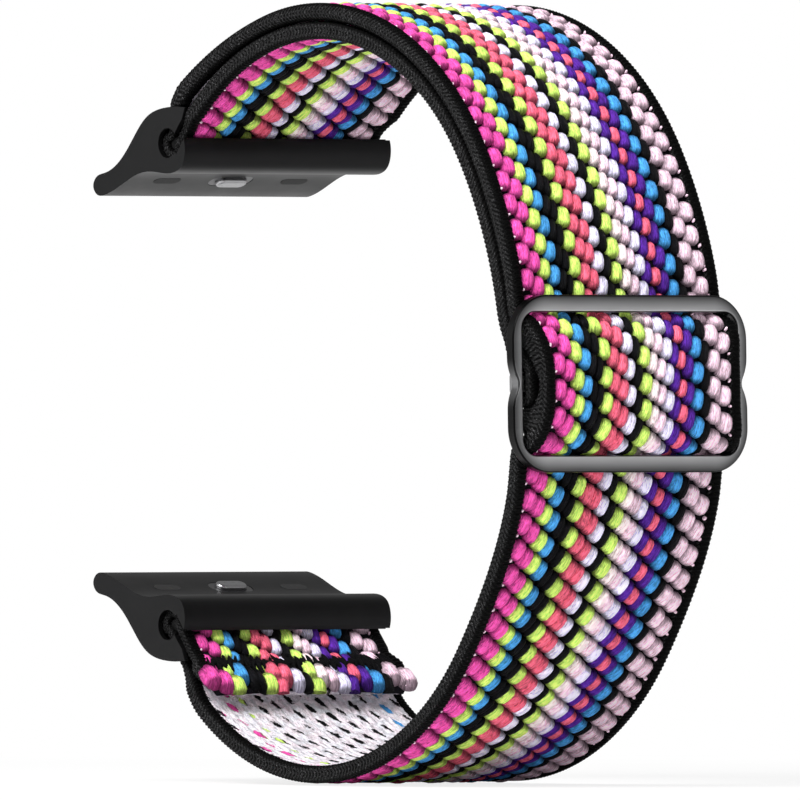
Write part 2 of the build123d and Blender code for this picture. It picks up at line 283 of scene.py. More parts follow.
def knit_finish(look):
    """The pale back: knitted lumps with painted shade between them, slanting black flecks and a few bright
    ones near the edges.

    One fleck lies in each cell of a grid whose columns are shifted along by a share of a cell. It is
    dark where 0.55 x**2 + 3.2 s**2 is small, x along from its middle and s across from its slant.
    """
    column_width, cell_length, shift, slant = 1.9, look.lobe_pitch, 0.38, 0.3
    finish = Finish("knit back", Specular_IOR_Level=0.1)
    along, across, _ = finish.uv()
    warp = finish.noise((along, across, 0), 1.4, 2.0)
    column = (across / column_width + 0.5).floor()
    cell = along / cell_length + column * shift + warp * 0.35
    row = cell.floor()
    luck = finish.chance(row, column)
    from_middle = (cell - row - 0.5) * cell_length
    ragged = finish.noise((along * 2, across * 2, 4), 2.5, 2.0)
    from_column = across - column * column_width + (warp - 0.5) * 0.8 + (luck - 0.5) * 0.5
    skew = from_column - from_middle * slant
    reach = (from_middle * from_middle) * 0.55 + (skew * skew) * 3.2
    fleck = 1.0 - (reach + luck * 0.5 + ragged * 0.9).ramp(0.9, 1.15)
    tone = finish.noise((along, across, 5), 0.8, 3.0, 0.6)
    fuzz = finish.noise((along * 4, across * 4, 9), 2.0, 3.0, 0.7)
    lump = finish.noise((along * 1.1, across * 1.4, 2), 1.2, 2.0)
    base = finish.mix(tone.ramp(0.35, 0.65), rgba(look.knit_cool), rgba(look.knit_warm))
    # Painted shade: the knit is darker where its lumps' relief is low.
    base = finish.tint(base, lump.ramp(0.35, 0.6) * 0.3 + 0.8)
    base = finish.tint(base, fuzz.ramp(0.2, 0.8) * 0.26 + 0.85)
    pink = 1.0 - abs(across + 10.1).ramp(0.9, 1.2)
    green = 1.0 - abs(across + 8.2).ramp(0.6, 0.8)
    blue = 1.0 - abs(across - 9.6).ramp(0.6, 0.9)
    hue = finish.mix(pink, rgba(look.black), rgba(look.hot_pink))
    hue = finish.mix(green, hue, rgba(look.neon_green))
    hue = finish.mix(blue, hue, rgba(look.sky_blue))
    relief = fuzz * 0.6 + lump * 2.5 + fleck * -0.8
    return finish.complete(finish.mix(fleck, base, hue), relief, 0.2 * MM, roughness=fuzz * 0.2 + 0.6)


def thread_finish():
    """Black sewing thread, its plies twisted round each stitch."""
    finish = Finish("seam thread", Specular_IOR_Level=0.04)
    across, along, _ = finish.uv()
    ply = (across * 2.0 + along).wave(0.2)
    colour = finish.mix(ply, (0.001, 0.001, 0.001, 1), (0.008, 0.008, 0.009, 1))
    return finish.complete(colour, ply, 0.03 * MM, roughness=0.7 - ply * 0.2)


def slider_finish(look):
    """Satin gunmetal plating with a faint drawn grain; painted light makes each bar darker towards its
    outline and lighter towards the window, with painted shade on its fillets and side walls and a painted
    highlight on its rims.
    """
    finish = Finish("slider plating", Metallic=1.0)
    place = finish.place()
    x, y, z = finish.split(place)
    grain = finish.noise((x * 60, y * 4, z * 60), 60.0, 4.0, 0.6)
    cloud = finish.noise(place, 180.0, 2.0)
    # Painted light across each bar: dark at its outline and lighter towards the window, as on a rounded bar.
    level = (outline_depth(y, z, look) / look.slider_bar) * 2.2 + 0.05
    outward = abs(finish.split(finish.add("ShaderNodeTexCoord", {}, {}, "Normal"))[0])
    # Painted shade on the side walls and on the fillets.
    side_wall_shade = 1.0 - outward.ramp(0.05, 0.15)
    edge = outward.ramp(0.15, 0.3) * (1.0 - outward.ramp(0.88, 0.97))
    level = level * (1.0 - edge * 0.85) * (1.0 - side_wall_shade * 0.2) * (cloud * 0.12 + grain * 0.1 + 0.89)
    plating = finish.tint(tuple(look.slider_colour), level)
    # Painted highlight on the sharp rims.
    colour = finish.mix(rim_highlight(finish) * 0.12, plating, (0.6, 0.6, 0.61, 1))
    return finish.complete(colour, grain, 0.008 * MM, 0.5, roughness=grain * 0.12 + 0.3)


def outline_depth(y, z, look):
    """How far inside the slider's outline a place is, in metres; the outline is a rounded rectangle.

    Past the corner's centre it is the corner's radius less the distance from that centre.
    """
    corner = look.slider_corner
    wide = abs(y) - (look.slider_width / 2 - corner)
    long = abs(z) - (look.slider_length / 2 - corner)
    past_wide, past_long = wide.calc("MAXIMUM", 0.0), long.calc("MAXIMUM", 0.0)
    past = (past_wide * past_wide + past_long * past_long).calc("SQRT")
    return corner - past - wide.calc("MAXIMUM", long).calc("MINIMUM", 0.0)


def rim_highlight(finish):
    """1 on sharp rims and 0 on flat faces, where a highlight is painted: the angle between the true and the
    rounded normal.
    """
    rounded = finish.add("ShaderNodeBevel", {"samples": 4}, {"Radius": 0.18 * MM})
    true = finish.add("ShaderNodeNewGeometry", {}, {}, "Normal")
    match = finish.add("ShaderNodeVectorMath", {"operation": "DOT_PRODUCT"}, {0: rounded, 1: true}, "Value")
    return (1.0 - match).ramp(0.01, 0.12)


def adapter_finish(look):
    """Dark satin anodising with a fine blasted grain."""
    finish = Finish("adapter anodising", Metallic=0.85)
    place = finish.place()
    blast = finish.noise(place, 9000.0, 2.0)
    cloud = finish.noise(place, 260.0, 2.0)
    colour = finish.mix(cloud, rgba(look.adapter_colour, 0.75), rgba(look.adapter_colour, 1.2))
    return finish.complete(colour, blast, 0.006 * MM, 0.4, roughness=cloud * 0.1 + 0.36)


def steel_finish(name, colour, roughness):
    """Steel with marks drawn across the strap."""
    finish = Finish(name, Metallic=1.0)
    x, y, z = finish.split(finish.place())
    marks = finish.noise((x * 50, y * 3, z * 50), 80.0, 3.0)
    drawn = finish.mix(marks, rgba(colour, 0.7), rgba(colour))
    return finish.complete(drawn, marks, 0.006 * MM, 0.5, roughness=marks * 0.2 + roughness)


def rubber_finish():
    """Matte black rubber with a fine pebble."""
    finish = Finish("grip rubber", Specular_IOR_Level=0.3)
    pebble = finish.noise(finish.place(), 5000.0, 2.0)
    colour = finish.mix(pebble, (0.01, 0.01, 0.01, 1), (0.026, 0.026, 0.026, 1))
    return finish.complete(colour, pebble, 0.02 * MM, roughness=pebble * 0.2 + 0.6)


def floor_finish(look):
    """A pale floor that fades to plain white away from the object and keeps a soft shadow near it."""
    finish = Finish("floor", Roughness=0.9, Specular_IOR_Level=0.1, Base_Color=rgba(look.floor_colour))
    x, y, _ = finish.split(finish.place())
    away = (x * x + y * y).ramp(0.004, 0.03)
    rays = finish.add("ShaderNodeLightPath", {}, {}).socket.node.outputs
    white_share = Wire(finish, rays["Is Camera Ray"]) * (away * 0.2 + 0.8)
    white = finish.add("ShaderNodeEmission", {}, {"Color": (1, 1, 1, 1), "Strength": 1.0})
    lit = Wire(finish, finish.shader.outputs[0])
    surface = finish.add("ShaderNodeMixShader", {}, {0: white_share, 1: lit, 2: white})
    finish.tree.links.new(surface.socket, finish.tree.nodes["Material Output"].inputs["Surface"])
    return finish.material


# The webbing's middle line

SAMPLE = 0.1


def joint(name):
    return next(entry for entry in frame["joints"] if entry["name"] == name)


def hinge(name):
    """A hinge's place in X and Z, in millimetres."""
    x, _, z = joint(name)["pos_m"]
    return (x / MM, z / MM)


def arc(centre, radius, start, finish):
    """Points in X and Z on a circle, from one angle in degrees to another."""
    count = max(2, int(abs(math.radians(finish - start)) * radius / SAMPLE))
    angle = np.radians(np.linspace(start, finish, count))
    return np.stack([centre[0] + radius * np.cos(angle), centre[1] + radius * np.sin(angle)], 1)


def lengths_along(points):
    """How far along a broken line each of its points lies."""
    return np.concatenate([[0], np.cumsum(np.hypot(*np.diff(points, axis=0).T))])


def read_line(along, known, values):
    """A line's pairs of values at some lengths along it, where they are known at others."""
    return np.stack([np.interp(along, known, values[:, side]) for side in (0, 1)], -1)


def through(points):
    """Points spread evenly along a broken line."""
    points = np.asarray(points, float)
    known = lengths_along(points)
    return read_line(np.arange(0, known[-1], SAMPLE), known, points)


def blur(values, spread):
    """Average along the line with a bell-shaped weight; spread is in samples, and the ends stay put."""
    reach = int(4 * spread)
    weight = np.exp(-0.5 * (np.arange(-reach, reach + 1) / spread) ** 2)
    weight /= weight.sum()
    before = 2 * values[0] - values[reach:0:-1]
    after = 2 * values[-1] - values[-2:-reach - 2:-1]
    padded = np.concatenate([before, values, after])
    return np.apply_along_axis(lambda column: np.convolve(column, weight, "valid"), 0, padded)


class LoopEnd:
    """The tight arc between the front arc and one adapter; side is 1 at the top and -1 below.

    Its circle touches the front arc at the bend angle, and the middle of its two layers meets the rod.
    """

    def __init__(self, look, side):
        self.side = side
        self.rod = hinge("top_adapter_pivot" if side > 0 else "bottom_adapter_pivot")
        loop = hinge("slider_travel")
        across = (self.rod[0] - loop[0], self.rod[1] - loop[1])
        fold_middle = look.thickness + look.layer_gap / 2
        middle = look.loop_radius - fold_middle
        toward = (math.cos(look.bend_angle), side * math.sin(look.bend_angle))
        ahead = across[0] * toward[0] + across[1] * toward[1]
        shift = (middle ** 2 - across[0] ** 2 - across[1] ** 2) / (2 * (middle - ahead))
        self.centre = (loop[0] + shift * toward[0], loop[1] + shift * toward[1])
        self.radius = look.loop_radius - shift
        self.middle = self.radius - fold_middle
        self.rod_angle = math.degrees(math.atan2(self.rod[1] - self.centre[1], self.rod[0] - self.centre[0]))
        self.fold_angle = self.rod_angle - side * math.degrees(look.fold_reach / self.middle)

    def fold(self, look, toward):
        """The pressed turn round the rod, from one layer to the other; toward is 1 from inner to outer."""
        half = (look.pressed_gap + look.pressed) / 2
        inner = arc(self.centre, self.middle - half, self.fold_angle, self.rod_angle)
        outer = arc(self.centre, self.middle + half, self.rod_angle, self.fold_angle)
        round_rod = arc(self.rod, look.turn_radius, self.rod_angle + 180 * self.side, self.rod_angle)
        path = np.concatenate([inner, round_rod, outer])
        return path if toward > 0 else path[::-1]


def by_slider(look, places):
    """A line near the slider, from lengths along the strap and distances from the loop's centre."""
    centre = hinge("slider_travel")
    c, s = math.cos(look.slider_angle), math.sin(look.slider_angle)
    return through([(centre[0] + out * c - along * s, centre[1] + out * s + along * c)
                    for along, out in places])


def bar_distance():
    """From the loop's centre to the slider's centre bar."""
    centre, bar = hinge("slider_travel"), hinge("slider_tilt")
    return math.hypot(bar[0] - centre[0], bar[1] - centre[1])


def over_slider(look, middle):
    """Out of the free arc, under an end bar, over the wrapped centre bar and back to the arc.

    Between the end bars each half is a superellipse. At a swing s it lies |sin s|**p of the knee's length
    along, and cos(s)**p of the crown's height above the dip, with p = 2 / fullness.
    """
    dip = math.sqrt(middle ** 2 - look.bar_place ** 2)
    crown = bar_distance() + look.wrap_radius + look.pressed / 2 + look.crown_clearance + look.thickness / 2
    knee, points = look.bar_place - look.dome_inset, 41
    swing = np.linspace(-math.pi / 2, math.pi / 2, points)
    power = 2 / np.where(swing > 0, look.dome_fullness, look.dome_fullness_below)
    along = knee * bulge(np.sin(swing), power)
    out = dip + (crown - dip) * np.cos(swing).clip(0) ** power
    far, far_out = middle * math.sin(look.dip_half_angle), middle * math.cos(look.dip_half_angle)
    return by_slider(look, [(-far, far_out), *zip(along, out), (far, far_out)])


def wrapped_end(look, inner):
    """From the inner layer round the slider's centre bar to the short end, which leans back on the layer."""
    tail_slope = 0.25
    bar, wrap, wide = bar_distance(), look.wrap_radius, look.bar_width / 2
    turn = -(look.bar_width - look.bar_thickness) / 2 - wrap
    tail_out = bar - wrap + look.pressed - tail_slope * (look.wrap_tail_reach - look.bar_width)
    return by_slider(look, [
        (look.wrap_reach, math.sqrt(inner ** 2 - look.wrap_reach ** 2)), (wide, bar - wrap),
        (turn, bar - wrap), (turn, bar + wrap), (wide, bar + wrap), (look.wrap_tail_reach, tail_out),
    ])


def stretches(look):
    """The middle line's stretches in their order along the webbing, each with its name."""
    lower, upper = LoopEnd(look, -1), LoopEnd(look, 1)
    centre = hinge("slider_travel")
    half, pitch = look.thickness / 2, look.thickness + look.layer_gap
    middle = look.loop_radius - half
    inner = middle - pitch
    lower_out, upper_out, upper_in = lower.radius - half, upper.radius - half, upper.radius - pitch - half
    bend, slider = math.degrees(look.bend_angle), math.degrees(look.slider_angle)
    dip, span = math.degrees(look.dip_half_angle), math.degrees(look.blend_angle)
    tail = math.degrees(look.tail_length / (lower.middle - pitch + look.layer_gap / 2))
    wrap = math.degrees(math.asin(look.wrap_reach / inner))
    return [
        ("tail", arc(lower.centre, lower_out - pitch, lower.fold_angle + tail, lower.fold_angle)),
        ("lower fold", lower.fold(look, 1)),
        ("main run", arc(lower.centre, lower_out, lower.fold_angle, -span)),
        ("lower span", arc(lower.centre, lower_out, -span, -bend)),
        ("lower front", arc(centre, middle, -bend, slider - dip)),
        ("slider", over_slider(look, middle)),
        ("upper front", arc(centre, middle, slider + dip, bend)),
        ("upper span", arc(upper.centre, upper_out, bend, span)),
        ("outer run", arc(upper.centre, upper_out, span, upper.fold_angle)),
        ("upper fold", upper.fold(look, -1)),
        ("return run", arc(upper.centre, upper_in, upper.fold_angle, span)),
        ("return span", arc(upper.centre, upper_in, span, bend)),
        ("return front", arc(centre, inner, bend, slider + wrap)),
        ("wrap", wrapped_end(look, inner)),
    ]


class Ribbon:
    """The webbing's middle line: where it runs, which way its bright side faces, and how it is pressed."""

    def __init__(self, look):
        parts = stretches(look)
        points = np.concatenate([part for _, part in parts])
        known = lengths_along(points)
        starts = np.cumsum([0] + [len(part) for _, part in parts])
        self.marks = {name: known[start] for (name, _), start in zip(parts, starts)}
        self.length = self.marks["end"] = known[-1]
        self.crown = (self.marks["slider"] + self.marks["upper front"]) / 2
        self.u = np.arange(0, self.length, SAMPLE)
        self.line = self.rounded(read_line(self.u, known, points))
        self.bow = self.standing_off(look)
        self.line += self.normals() * self.bow[:, None] * look.bow_height
        self.line[:, 0] -= self.leaning() * look.sweep
        self.facing = self.normals()
        self.press, self.narrow = self.squeezed(look)

    def rounded(self, line):
        """The line with its corners rounded, more widely over the slider than elsewhere."""
        corner_blur, slider_blur, soft_end = 3, 6, 1
        low, high = self.marks["slider"], self.marks["upper front"]
        soft = self.step(low - soft_end, low + soft_end) - self.step(high - soft_end, high + soft_end)
        return blur(line, corner_blur) * (1 - soft[:, None]) + blur(line, slider_blur) * soft[:, None]

    def standing_off(self, look):
        """From 0 to 1, how far the outer layer bows off the inner one near the upper adapter."""
        past_mouth, fall = 1.5, 3.0
        peak = self.marks["upper fold"] + past_mouth
        start = self.marks["upper fold"] - look.bow_length
        rise = np.clip((self.u - start) / (peak - start), 0, 1) ** 2
        return rise * (1 - self.step(peak, peak + fall))

    def leaning(self):
        """From 0 to 1, how far the lower half leans to the watch; it starts outside the adapter."""
        out, rise, fall = 0.5, 6.0, 2.0
        start = self.marks["main run"]
        lean = self.step(start + out, start + rise)
        return lean - self.step(self.marks["lower front"] - fall, self.marks["slider"])

    def squeezed(self, look):
        """How thick and how wide the webbing is along its line, as shares of its free sizes."""
        tightness, tip_share, crown_reach, crown_press = 0.8, 0.3, 4.2, 0.12
        lower_rise, early, lower_fall, upper_soft = 1.8, 0.2, 2.8, 3.0
        wrap_start, wrap_full = 1, 3
        marks = self.marks
        folds = self.step(marks["lower fold"] - lower_rise, marks["lower fold"])
        folds -= self.step(marks["main run"] - early, marks["main run"] + lower_fall)
        folds += self.between("upper fold", "return run", upper_soft)
        wrapping = self.step(marks["wrap"] + wrap_start, marks["wrap"] + wrap_full)
        pressed = 1 - (1 - look.pressed / look.thickness * tightness) * np.clip(folds + wrapping, 0, 1)
        tips = [np.clip(reach / look.tip_round, 0, 1) for reach in (self.u, self.length - self.u)]
        rounding = np.prod([np.sqrt(1 - (1 - tip) ** 2) for tip in tips], axis=0)
        over_bar = np.exp(-((self.u - self.crown) / crown_reach) ** 4)
        press = pressed * (tip_share + (1 - tip_share) * rounding) * (1 - crown_press * over_bar)
        return press, 1 - folds * look.fold_narrowing - over_bar * look.crown_narrowing

    def normals(self):
        """Unit vectors towards the bright side."""
        heading = np.gradient(self.line, axis=0)
        heading /= np.hypot(*heading.T)[:, None]
        return np.stack([heading[:, 1], -heading[:, 0]], 1)

    def step(self, low, high):
        """0 before low, 1 after high, along the line."""
        t = np.clip((self.u - low) / (high - low), 0, 1)
        return t * t * (3 - 2 * t)

    def between(self, first, second, soft):
        """1 between two marks and 0 outside them, with soft ends inside them."""
        low, high = self.marks[first], self.marks[second]
        return self.step(low, low + soft) - self.step(high - soft, high)

    def spot(self, along):
        """The middle line's point, in metres, at a length along it in millimetres."""
        x, z = read_line(along, self.u, self.line) * MM
        return (float(x), 0.0, float(z))

    def place(self, along, across, height):
        """Points in metres for lengths along the line, across it and above it, in millimetres."""
        along, across, height = np.broadcast_arrays(along, across, height)
        rise = height * np.interp(along, self.u, self.press)
        y = across * np.interp(along, self.u, self.narrow)
        outward = read_line(along, self.u, self.facing) * rise[..., None]
        x, z = np.moveaxis(read_line(along, self.u, self.line) + outward, -1, 0)
        return np.stack([x, y, z], -1) * MM


# Meshes

def crests(turns):
    """A wave from 0 to 1, with a crest at each whole number."""
    return 0.5 + 0.5 * np.cos(2 * math.pi * turns)


def bulge(wave, power):
    """A sine or cosine whose size is raised to a power, with its sign kept."""
    return np.sign(wave) * np.abs(wave) ** power


class Cloth:
    """Closed tubes gathered into one mesh, with a colour, two coordinates and a finish for each."""

    def __init__(self):
        self.points, self.quads, self.fans = [], [], []
        self.colours, self.coords, self.quad_finish, self.fan_finish = [], [], [], []
        self.count = 0

    def tubes(self, rings, poles, colour, coords, pole_coords, finish):
        """Add copies of a tube: rings is (copies, rows, around, 3) and poles (copies, 2, 3).

        The finish is one for the whole tube or one for each of its columns.
        """
        copies, rows, around, _ = rings.shape
        size = rows * around + 2
        body = np.concatenate([rings.reshape(copies, -1, 3), poles], 1)
        self.points.append(body.reshape(-1, 3))
        self.colours.append(np.broadcast_to(colour, (copies, size, 4)).reshape(-1, 4))
        flat = np.concatenate([coords.reshape(copies, -1, 2), pole_coords], 1)
        self.coords.append(flat.reshape(-1, 2))
        grid = np.arange(rows * around).reshape(rows, around)
        ahead = np.roll(grid, -1, 1)
        quad = np.stack([grid[:-1], grid[1:], ahead[1:], ahead[:-1]], -1).reshape(-1, 4)
        first_pole, last_pole = np.full(around, size - 2), np.full(around, size - 1)
        fan = np.concatenate([np.stack([first_pole, grid[0], ahead[0]], 1),
                              np.stack([last_pole, ahead[-1], grid[-1]], 1)])
        shift = self.count + np.arange(copies)[:, None, None] * size
        self.quads.append((quad + shift).reshape(-1, 4))
        self.fans.append((fan + shift).reshape(-1, 3))
        by_column = np.broadcast_to(finish, (around,))
        self.quad_finish.append(np.tile(by_column, (rows - 1) * copies))
        self.fan_finish.append(np.tile(by_column, 2 * copies))
        self.count += copies * size

    def build(self, name, materials):
        """Make the mesh object."""
        quads, fans = np.concatenate(self.quads), np.concatenate(self.fans)
        points, colours = np.concatenate(self.points), np.concatenate(self.colours)
        corners = np.concatenate([quads.reshape(-1), fans.reshape(-1)])
        starts = np.concatenate([np.arange(len(quads)) * 4, len(quads) * 4 + np.arange(len(fans)) * 3])
        finish = np.concatenate(self.quad_finish + self.fan_finish)
        mesh = bpy.data.meshes.new(name)
        mesh.vertices.add(len(points))
        mesh.vertices.foreach_set("co", points.reshape(-1).astype(np.float32))
        mesh.loops.add(len(corners))
        mesh.loops.foreach_set("vertex_index", corners.astype(np.int32))
        mesh.polygons.add(len(starts))
        mesh.polygons.foreach_set("loop_start", starts.astype(np.int32))
        mesh.polygons.foreach_set("material_index", finish.astype(np.int32))
        mesh.update(calc_edges=True)
        mesh.validate()
        mesh.shade_smooth()
        colour = mesh.color_attributes.new("yarn", "FLOAT_COLOR", "POINT")
        colour.data.foreach_set("color", colours.reshape(-1).astype(np.float32))
        layer = mesh.uv_layers.new(name="weave")
        layer.data.foreach_set("uv", np.concatenate(self.coords)[corners].reshape(-1).astype(np.float32))
        for material in materials:
            mesh.materials.append(material)
        return shown(name, mesh)


def shown(name, data):
    """An object in the scene for a mesh, a lamp or a camera."""
    thing = bpy.data.objects.new(name, data)
    bpy.context.scene.collection.objects.link(thing)
    return thing


def add_tube(cloth, ribbon, rows, across, height, centre, second, pole_second, shade, finish):
    """A closed tube along the webbing, with a pole on its centre at each end.

    Its coordinates are the length along the line, and a second one that runs round it.
    """
    ends = rows[[0, -1], 0]
    rings = ribbon.place(rows, across, height)[None]
    poles = ribbon.place(ends, centre, 0.0)[None]
    coords = np.stack(np.broadcast_arrays(rows, second), -1)[None]
    pole_coords = np.stack([ends, np.full(2, pole_second)], -1)[None]
    cloth.tubes(rings, poles, np.array([shade, shade, shade, 0.5]), coords, pole_coords, finish)


LOBE_ROWS = 6
LOBE_ANGLES = np.radians([0, 28, 60, 90, 120, 152, 180, 225, 270, 315])


def add_lobes(cloth, ribbon, middle_u, middle_y, half_width, half_length, lean, base, crest, colour,
              tilt=0.0, depth=0.45):
    """Closed barrels lying on the webbing. All but cloth and ribbon are one value, or one for each.

    A barrel's width at s along it is (1 - |s|**3)**0.5 of its full width; its section is a rounded
    block, |cos|**0.9 by |sin|**0.95, from depth below base to crest, with one side raised by tilt; and
    the barrel is turned by lean about its own middle.
    """
    pole_sink = 0.1
    values = np.broadcast_arrays(middle_u, middle_y, half_width, half_length, lean, base, crest)
    middle_u, middle_y, half_width, half_length, lean, base, crest = (
        value[:, None, None] for value in values)
    colour = np.broadcast_to(colour, (len(lean), 4))[:, None, :]
    s = np.sin(np.linspace(-1, 1, LOBE_ROWS + 2)[1:-1] * math.pi / 2)[None, :, None]
    swell = (1 - np.abs(s) ** 3) ** 0.5
    side = bulge(np.cos(LOBE_ANGLES), 0.9)[None, None, :]
    top = bulge(np.sin(LOBE_ANGLES), 0.95)[None, None, :]
    wide = half_width * swell * side
    long = half_length * s + 0 * wide
    up = np.where(top > 0, crest - base, depth) * swell ** 0.7 * top + tilt * side * swell

    def turned(long, wide, height):
        along = middle_u + long * np.cos(lean) - wide * np.sin(lean)
        across = middle_y + long * np.sin(lean) + wide * np.cos(lean)
        return ribbon.place(along, across, height)

    tips = half_length * np.array([-1.0, 1.0])[None, :, None]
    poles = turned(tips, 0.0, base - pole_sink)[:, :, 0]
    coords, pole_coords = np.stack([wide, long], -1), np.stack([0 * tips, tips], -1)[:, :, 0]
    cloth.tubes(turned(long, wide, base + up), poles, colour, coords, pole_coords, YARN)


# Each column's yarn, how far forward it stands, its share of the width and its lobes' length
YARNS = [
    ("hot_pink", 1.0, 1.25, 1.0), ("hot_pink", 1.0, 1.2, 1.0), ("neon_green", 0.95, 1.15, 1.0),
    ("sky_blue", 0.8, 1.05, 1.0), ("black", 0.7, 0.75, 1.1), ("black", 0.74, 0.75, 1.1),
    ("neon_green", 0.95, 1.25, 1.0), ("coral", 1.0, 1.0, 1.0), ("coral", 1.0, 1.05, 1.0),
    ("lavender", 0.9, 1.05, 1.0), ("black", 0.72, 0.9, 1.1), ("neon_green", 0.92, 1.2, 1.0),
    ("cream_pink", 0.98, 0.95, 1.0), ("light_pink", 0.98, 0.9, 1.0), ("lavender", 0.95, 1.1, 1.0),
    ("purple", 0.72, 0.85, 1.1), ("coral", 1.0, 0.9, 0.85), ("purple", 0.72, 1.0, 1.1),
    ("sky_blue", 1.0, 1.15, 1.0), ("black", 0.72, 0.9, 1.1), ("light_pink", 0.96, 1.35, 1.0),
    ("light_pink", 1.0, 1.45, 0.95),
]

# How far the lobes lean at marks along the line, in degrees
LEANS = [
    ("tail", 4), ("main run", 8), ("lower span", 24), ("lower front", 30), ("slider", 18), ("upper front", 8),
    ("outer run", 2), ("return run", 16), ("return span", 18), ("end", 10),
]


# How far a lobe strays: along, across, in tone, in lean (degrees), in height and in width
STRAYS = np.array([0.06, 0.03, 0.05, 2.5, 0.04, 0.05])


def lobe_places(ribbon, look, spacing, draw):
    """Each lobe's length along the line, its place across, its column and how far the rest of it strays.

    A lobe stands at each row and column of yarn, and the rows slope across the strap.
    """
    first, last, spare_rows, spread_reach = 0.1, ribbon.length - 0.35, 8, 1.5
    room = spacing.sum()
    middle = np.cumsum(spacing) - spacing / 2 - room / 2
    rows = int(ribbon.length / look.lobe_pitch) + spare_rows
    row, column = np.meshgrid(np.arange(rows), np.arange(len(spacing)), indexing="ij")
    row, column = row.reshape(-1), column.reshape(-1)
    stray = draw.normal(0, 1, (len(STRAYS), len(row))) * STRAYS[:, None]
    u = (row + 1) * look.lobe_pitch - (middle[column] + room / 2) * look.row_slope + stray[0]
    sewn = np.clip((ribbon.marks["lower fold"] - u) / spread_reach, 0, 1)
    y = middle[column] * (1 + look.tail_spread * sewn) + stray[1]
    keep = (u > first) & (u < last)
    return u[keep], y[keep], column[keep], stray[2:, keep]


def braid_lobes(ribbon, look):
    """Every lobe of the braid, as the arrays that add_lobes takes.

    The seam's stitches press lobes down, and past it, at the tail's tip, they are larger.
    """
    base_share, valley, least_stand = 0.2, 0.12, 0.25
    seam_reach, seam_sink = 0.8, 0.45
    tip_place, tip_reach, tip_rise, tip_width, tip_length = 1.2, 0.8, 0.3, 0.2, 0.4
    names, stand, share, stretch = (np.array(values) for values in zip(*YARNS))
    hues = np.array([tuple(getattr(look, name)) for name in names])
    spacing = (look.width - 2 * look.selvedge) * share / share.sum()
    draw = np.random.default_rng(7)
    u, y, column, strays = lobe_places(ribbon, look, spacing, draw)
    stray_tone, stray_lean, stray_crest, stray_width = strays
    tone = np.clip(hues[column] * (1 + stray_tone[:, None]), 0, 1)
    colour = np.concatenate([tone, draw.random(len(u))[:, None]], 1)
    turns = np.interp(u, [ribbon.marks[mark] for mark, _ in LEANS], [turn for _, turn in LEANS])
    lean = np.radians(turns + stray_lean)
    half = look.thickness / 2
    seam = np.exp(-((u - look.bottom_seam) / seam_reach) ** 2)
    tip = 1 - np.clip((u - look.bottom_seam + tip_place) / tip_reach, 0, 1)
    crest = half - valley + look.lobe_rise * (least_stand + stand[column]) + stray_crest
    crest = crest - seam * seam_sink + tip * tip_rise
    width = spacing[column] * look.lobe_overlap / 2 * (1 + stray_width) * (1 + tip * tip_width)
    length = look.lobe_length / 2 * stretch[column] * (1 + tip * tip_length)
    return u, y, width, length, lean, np.full(len(u), half * base_share), crest, colour


def add_braid(cloth, ribbon, lobes, low, high):
    """The lobes whose middles lie between two lengths along the line."""
    pick = (lobes[0] >= low) & (lobes[0] < high)
    add_lobes(cloth, ribbon, *[values[pick] for values in lobes], tilt=0.06)


def add_core(cloth, ribbon, look, low, high):
    """The body under the lobes: a top in painted shade and a knitted back of offset lumps.

    A lump's height is the root of a wave across, times 0.35 + 0.65 of the root of a wave along, which is
    shifted by half a lump from column to column. A chain of beads runs beside each selvedge.
    """
    row_step, point_step, top_points, edge_overlap, top_share = 0.22, 0.2, 9, 0.25, 0.15
    knit_width, knit_length, knit_slant, knit_rise, knit_valley = 0.87, 0.86, 0.35, 0.13, 0.14
    bead_pitch, bead_inset, bead_reach, bead_rise = 0.5, 0.35, 0.2, 0.1
    half = look.thickness / 2
    edge = look.width / 2 - look.selvedge + edge_overlap
    low = max(low, look.tip_round / 2)
    rows = np.linspace(low, high, max(3, int((high - low) / row_step)))[:, None]
    top_y = np.linspace(edge, -edge, top_points)
    back_y = np.linspace(-edge, edge, int(2 * edge / point_step))
    y = np.concatenate([top_y, back_y])
    place = back_y / knit_width
    column = np.floor(place)
    along = crests(rows / knit_length + 0.5 * column + knit_slant * (place - column))
    lumps = np.sqrt(crests(place - 0.5)) * (0.35 + 0.65 * np.sqrt(along))
    chain = np.exp(-((np.abs(back_y) - edge + bead_inset) / bead_reach) ** 2)
    beads = chain * crests(rows / bead_pitch)
    back = -(half - knit_valley) - knit_rise * lumps - bead_rise * beads
    top = np.full((len(rows), len(top_y)), half * top_share)
    finish = np.full(len(y), KNIT)
    finish[:len(top_y)] = CORE
    finish[-1] = CORE
    add_tube(cloth, ribbon, rows, y, np.concatenate([top, back], 1), 0.0, y, 0.0, 0.02, finish)


